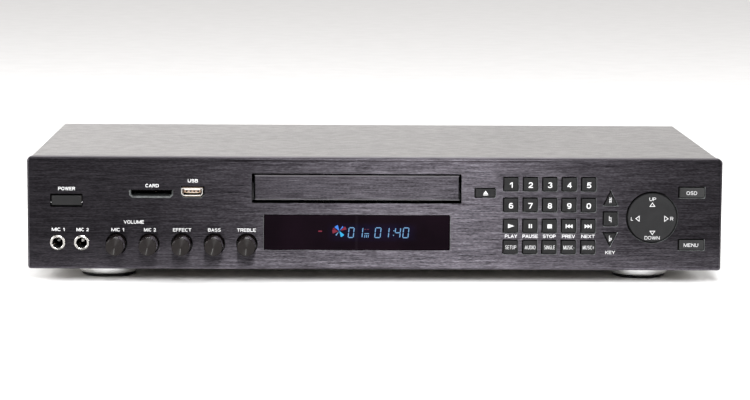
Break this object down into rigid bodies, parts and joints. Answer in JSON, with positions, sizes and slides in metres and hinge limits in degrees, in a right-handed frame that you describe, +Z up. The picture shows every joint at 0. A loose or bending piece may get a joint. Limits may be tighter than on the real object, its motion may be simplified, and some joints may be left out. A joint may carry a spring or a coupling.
{
  "type": "karaoke machine with disc tray",
  "caption": "Slim karaoke disc player with a sliding disc tray, microphone jacks, rotary knobs, keypad, navigation pad, card and USB sockets, display window and round feet.",
  "frame": {"origin": "bottom centre of the whole unit, on the surface that it stands on", "axes": "+X to the unit's right as seen from the front, +Y to the rear, +Z up; the controls face -Y"},
  "size_m": [0.43, 0.244, 0.0776],
  "materials": {
    "cover_black": "satin black paint over folded steel sheet",
    "panel_black": "black anodised, brushed along its length",
    "window_smoked": "smoked acrylic, polished",
    "key_black": "satin black moulding with white print",
    "knob_black": "satin black, turned",
    "nav_black": "satin black moulding with white print",
    "jack_chrome": "nickel plated ring",
    "socket_shell": "gold-tinted plated shell",
    "foot_metal": "plated ring, satin top",
    "pad_rubber": "black rubber",
    "print_white": "white silk-screen print",
    "display_glow": "lit blue display segments",
    "display_red": "lit red display segments",
    "chassis_steel": "black coated steel sheet",
    "abs_black": "black ABS moulding",
    "circuit_board": "green circuit board with parts",
    "socket_plastic": "black socket bodies",
    "screw_black": "black oxide steel",
    "cable_grey": "grey ribbon cable",
    "loader_grey": "dark grey moulding",
    "motor_steel": "plated steel",
    "belt_rubber": "black rubber belt",
    "tray_plastic": "black moulding, fine texture",
    "gear_plastic": "white acetal"
  },
  "bodies": {
    "chassis": {"top_cover": "cover_black", "base_chassis": "chassis_steel", "front_panel": "panel_black", "front_subpanel": "abs_black", "display_window": "window_smoked", "front_board": "circuit_board", "microphone_jacks": "jack_chrome", "media_sockets": "socket_shell", "main_board": "circuit_board", "power_board": "circuit_board", "rear_sockets": "socket_plastic", "feet": "foot_metal", "screws": "screw_black", "internal_cables": "cable_grey", "loader_frame": "loader_grey", "clamp_bridge": "loader_grey", "loader_motor": "motor_steel", "drive_belt": "belt_rubber"},
    "tray": {"disc_tray": "tray_plastic", "tray_door": "panel_black"},
    "traverse": {"traverse_frame": "motor_steel"},
    "turntable": {"turntable": "loader_grey"},
    "puck": {"clamp_puck": "gear_plastic"},
    "sled": {"pickup_sled": "abs_black"},
    "gear": {"pulley_gear": "gear_plastic"},
    "motor_pulley": {"motor_pulley": "gear_plastic"},
    "nav_pivot": {"nav_pivot": "gear_plastic"},
    "nav_pad": {"nav_pad": "nav_black"},
    "mic1_volume_knob": {"mic1_volume_knob": "knob_black"},
    "mic2_volume_knob": {"mic2_volume_knob": "knob_black"},
    "effect_knob": {"effect_knob": "knob_black"},
    "bass_knob": {"bass_knob": "knob_black"},
    "treble_knob": {"treble_knob": "knob_black"},
    "key_1": {"key_1": "key_black"},
    "key_2": {"key_2": "key_black"},
    "key_3": {"key_3": "key_black"},
    "key_4": {"key_4": "key_black"},
    "key_5": {"key_5": "key_black"},
    "key_6": {"key_6": "key_black"},
    "key_7": {"key_7": "key_black"},
    "key_8": {"key_8": "key_black"},
    "key_9": {"key_9": "key_black"},
    "key_0": {"key_0": "key_black"},
    "key_play": {"key_play": "key_black"},
    "key_pause": {"key_pause": "key_black"},
    "key_stop": {"key_stop": "key_black"},
    "key_previous": {"key_previous": "key_black"},
    "key_next": {"key_next": "key_black"},
    "key_setup": {"key_setup": "key_black"},
    "key_audio": {"key_audio": "key_black"},
    "key_single": {"key_single": "key_black"},
    "key_music_minus": {"key_music_minus": "key_black"},
    "key_music_plus": {"key_music_plus": "key_black"},
    "key_natural": {"key_natural": "key_black"},
    "eject_button": {"eject_button": "key_black"},
    "osd_button": {"osd_button": "key_black"},
    "menu_button": {"menu_button": "key_black"},
    "key_sharp": {"key_sharp": "key_black"},
    "key_flat": {"key_flat": "key_black"},
    "power_button": {"power_button": "key_black"}
  },
  "joints": [
    {"name": "tray_slide", "type": "slide", "parent": "chassis", "child": "tray", "axis": [0, -1, 0], "range_m": [0, 0.14]},
    {"name": "gear_turn", "type": "hinge", "parent": "chassis", "child": "gear", "pos_m": [0.03, -0.0725, 0.044], "axis": [0, 0, 1], "continuous": true},
    {"name": "motor_pulley_turn", "type": "hinge", "parent": "chassis", "child": "motor_pulley", "pos_m": [-0.02, -0.0725, 0.043], "axis": [0, 0, 1], "continuous": true},
    {"name": "traverse_tilt", "type": "hinge", "parent": "chassis", "child": "traverse", "pos_m": [-0.01165, 0.0655, 0.037], "axis": [1, 0, 0], "range_deg": [0, 3]},
    {"name": "turntable_spin", "type": "hinge", "parent": "traverse", "child": "turntable", "pos_m": [-0.01165, -0.0345, 0.055], "axis": [0, 0, 1], "continuous": true},
    {"name": "puck_spin", "type": "hinge", "parent": "chassis", "child": "puck", "pos_m": [-0.01165, -0.0345, 0.062], "axis": [0, 0, 1], "continuous": true},
    {"name": "sled_slide", "type": "slide", "parent": "traverse", "child": "sled", "axis": [0, 1, 0], "range_m": [0, 0.035]},
    {"name": "nav_rock_up_down", "type": "hinge", "parent": "chassis", "child": "nav_pivot", "pos_m": [0.1715, -0.0969, 0.0413], "axis": [1, 0, 0], "range_deg": [-1.25, 1.25], "stiffness_Nm_per_rad": 0.3},
    {"name": "nav_rock_left_right", "type": "hinge", "parent": "nav_pivot", "child": "nav_pad", "pos_m": [0.1715, -0.0969, 0.0413], "axis": [0, 0, 1], "range_deg": [-1.25, 1.25], "stiffness_Nm_per_rad": 0.3},
    {"name": "mic1_volume_knob_turn", "type": "hinge", "parent": "chassis", "child": "mic1_volume_knob", "pos_m": [-0.1601, -0.1065, 0.0239], "axis": [0, 1, 0], "range_deg": [0, 300]},
    {"name": "mic2_volume_knob_turn", "type": "hinge", "parent": "chassis", "child": "mic2_volume_knob", "pos_m": [-0.1399, -0.1065, 0.0239], "axis": [0, 1, 0], "range_deg": [0, 300]},
    {"name": "effect_knob_turn", "type": "hinge", "parent": "chassis", "child": "effect_knob", "pos_m": [-0.1197, -0.1065, 0.0239], "axis": [0, 1, 0], "range_deg": [0, 300]},
    {"name": "bass_knob_turn", "type": "hinge", "parent": "chassis", "child": "bass_knob", "pos_m": [-0.0996, -0.1065, 0.0239], "axis": [0, 1, 0], "range_deg": [0, 300]},
    {"name": "treble_knob_turn", "type": "hinge", "parent": "chassis", "child": "treble_knob", "pos_m": [-0.0795, -0.1065, 0.0239], "axis": [0, 1, 0], "range_deg": [0, 300]},
    {"name": "key_1_press", "type": "slide", "parent": "chassis", "child": "key_1", "axis": [0, 1, 0], "range_m": [0, 0.0008], "stiffness_N_per_m": 1200, "springref_m": -0.0003},
    {"name": "key_2_press", "type": "slide", "parent": "chassis", "child": "key_2", "axis": [0, 1, 0], "range_m": [0, 0.0008], "stiffness_N_per_m": 1200, "springref_m": -0.0003},
    {"name": "key_3_press", "type": "slide", "parent": "chassis", "child": "key_3", "axis": [0, 1, 0], "range_m": [0, 0.0008], "stiffness_N_per_m": 1200, "springref_m": -0.0003},
    {"name": "key_4_press", "type": "slide", "parent": "chassis", "child": "key_4", "axis": [0, 1, 0], "range_m": [0, 0.0008], "stiffness_N_per_m": 1200, "springref_m": -0.0003},
    {"name": "key_5_press", "type": "slide", "parent": "chassis", "child": "key_5", "axis": [0, 1, 0], "range_m": [0, 0.0008], "stiffness_N_per_m": 1200, "springref_m": -0.0003},
    {"name": "key_6_press", "type": "slide", "parent": "chassis", "child": "key_6", "axis": [0, 1, 0], "range_m": [0, 0.0008], "stiffness_N_per_m": 1200, "springref_m": -0.0003},
    {"name": "key_7_press", "type": "slide", "parent": "chassis", "child": "key_7", "axis": [0, 1, 0], "range_m": [0, 0.0008], "stiffness_N_per_m": 1200, "springref_m": -0.0003},
    {"name": "key_8_press", "type": "slide", "parent": "chassis", "child": "key_8", "axis": [0, 1, 0], "range_m": [0, 0.0008], "stiffness_N_per_m": 1200, "springref_m": -0.0003},
    {"name": "key_9_press", "type": "slide", "parent": "chassis", "child": "key_9", "axis": [0, 1, 0], "range_m": [0, 0.0008], "stiffness_N_per_m": 1200, "springref_m": -0.0003},
    {"name": "key_0_press", "type": "slide", "parent": "chassis", "child": "key_0", "axis": [0, 1, 0], "range_m": [0, 0.0008], "stiffness_N_per_m": 1200, "springref_m": -0.0003},
    {"name": "key_play_press", "type": "slide", "parent": "chassis", "child": "key_play", "axis": [0, 1, 0], "range_m": [0, 0.0008], "stiffness_N_per_m": 1200, "springref_m": -0.0003},
    {"name": "key_pause_press", "type": "slide", "parent": "chassis", "child": "key_pause", "axis": [0, 1, 0], "range_m": [0, 0.0008], "stiffness_N_per_m": 1200, "springref_m": -0.0003},
    {"name": "key_stop_press", "type": "slide", "parent": "chassis", "child": "key_stop", "axis": [0, 1, 0], "range_m": [0, 0.0008], "stiffness_N_per_m": 1200, "springref_m": -0.0003},
    {"name": "key_previous_press", "type": "slide", "parent": "chassis", "child": "key_previous", "axis": [0, 1, 0], "range_m": [0, 0.0008], "stiffness_N_per_m": 1200, "springref_m": -0.0003},
    {"name": "key_next_press", "type": "slide", "parent": "chassis", "child": "key_next", "axis": [0, 1, 0], "range_m": [0, 0.0008], "stiffness_N_per_m": 1200, "springref_m": -0.0003},
    {"name": "key_setup_press", "type": "slide", "parent": "chassis", "child": "key_setup", "axis": [0, 1, 0], "range_m": [0, 0.0008], "stiffness_N_per_m": 1200, "springref_m": -0.0003},
    {"name": "key_audio_press", "type": "slide", "parent": "chassis", "child": "key_audio", "axis": [0, 1, 0], "range_m": [0, 0.0008], "stiffness_N_per_m": 1200, "springref_m": -0.0003},
    {"name": "key_single_press", "type": "slide", "parent": "chassis", "child": "key_single", "axis": [0, 1, 0], "range_m": [0, 0.0008], "stiffness_N_per_m": 1200, "springref_m": -0.0003},
    {"name": "key_music_minus_press", "type": "slide", "parent": "chassis", "child": "key_music_minus", "axis": [0, 1, 0], "range_m": [0, 0.0008], "stiffness_N_per_m": 1200, "springref_m": -0.0003},
    {"name": "key_music_plus_press", "type": "slide", "parent": "chassis", "child": "key_music_plus", "axis": [0, 1, 0], "range_m": [0, 0.0008], "stiffness_N_per_m": 1200, "springref_m": -0.0003},
    {"name": "key_natural_press", "type": "slide", "parent": "chassis", "child": "key_natural", "axis": [0, 1, 0], "range_m": [0, 0.0008], "stiffness_N_per_m": 1200, "springref_m": -0.0003},
    {"name": "eject_button_press", "type": "slide", "parent": "chassis", "child": "eject_button", "axis": [0, 1, 0], "range_m": [0, 0.0008], "stiffness_N_per_m": 1200, "springref_m": -0.0003},
    {"name": "osd_button_press", "type": "slide", "parent": "chassis", "child": "osd_button", "axis": [0, 1, 0], "range_m": [0, 0.0008], "stiffness_N_per_m": 1200, "springref_m": -0.0003},
    {"name": "menu_button_press", "type": "slide", "parent": "chassis", "child": "menu_button", "axis": [0, 1, 0], "range_m": [0, 0.0008], "stiffness_N_per_m": 1200, "springref_m": -0.0003},
    {"name": "key_sharp_press", "type": "slide", "parent": "chassis", "child": "key_sharp", "axis": [0, 1, 0], "range_m": [0, 0.0008], "stiffness_N_per_m": 1200, "springref_m": -0.0003},
    {"name": "key_flat_press", "type": "slide", "parent": "chassis", "child": "key_flat", "axis": [0, 1, 0], "range_m": [0, 0.0008], "stiffness_N_per_m": 1200, "springref_m": -0.0003},
    {"name": "power_button_press", "type": "slide", "parent": "chassis", "child": "power_button", "axis": [0, 1, 0], "range_m": [0, 0.0025], "stiffness_N_per_m": 400, "springref_m": -0.001}
  ],
  "couplings": [
    {"joint": "gear_turn", "follows": "tray_slide", "rad_per_m": -125},
    {"joint": "motor_pulley_turn", "follows": "tray_slide", "rad_per_m": -406.25},
    {"joint": "puck_spin", "follows": "turntable_spin", "ratio": 1}
  ]
}
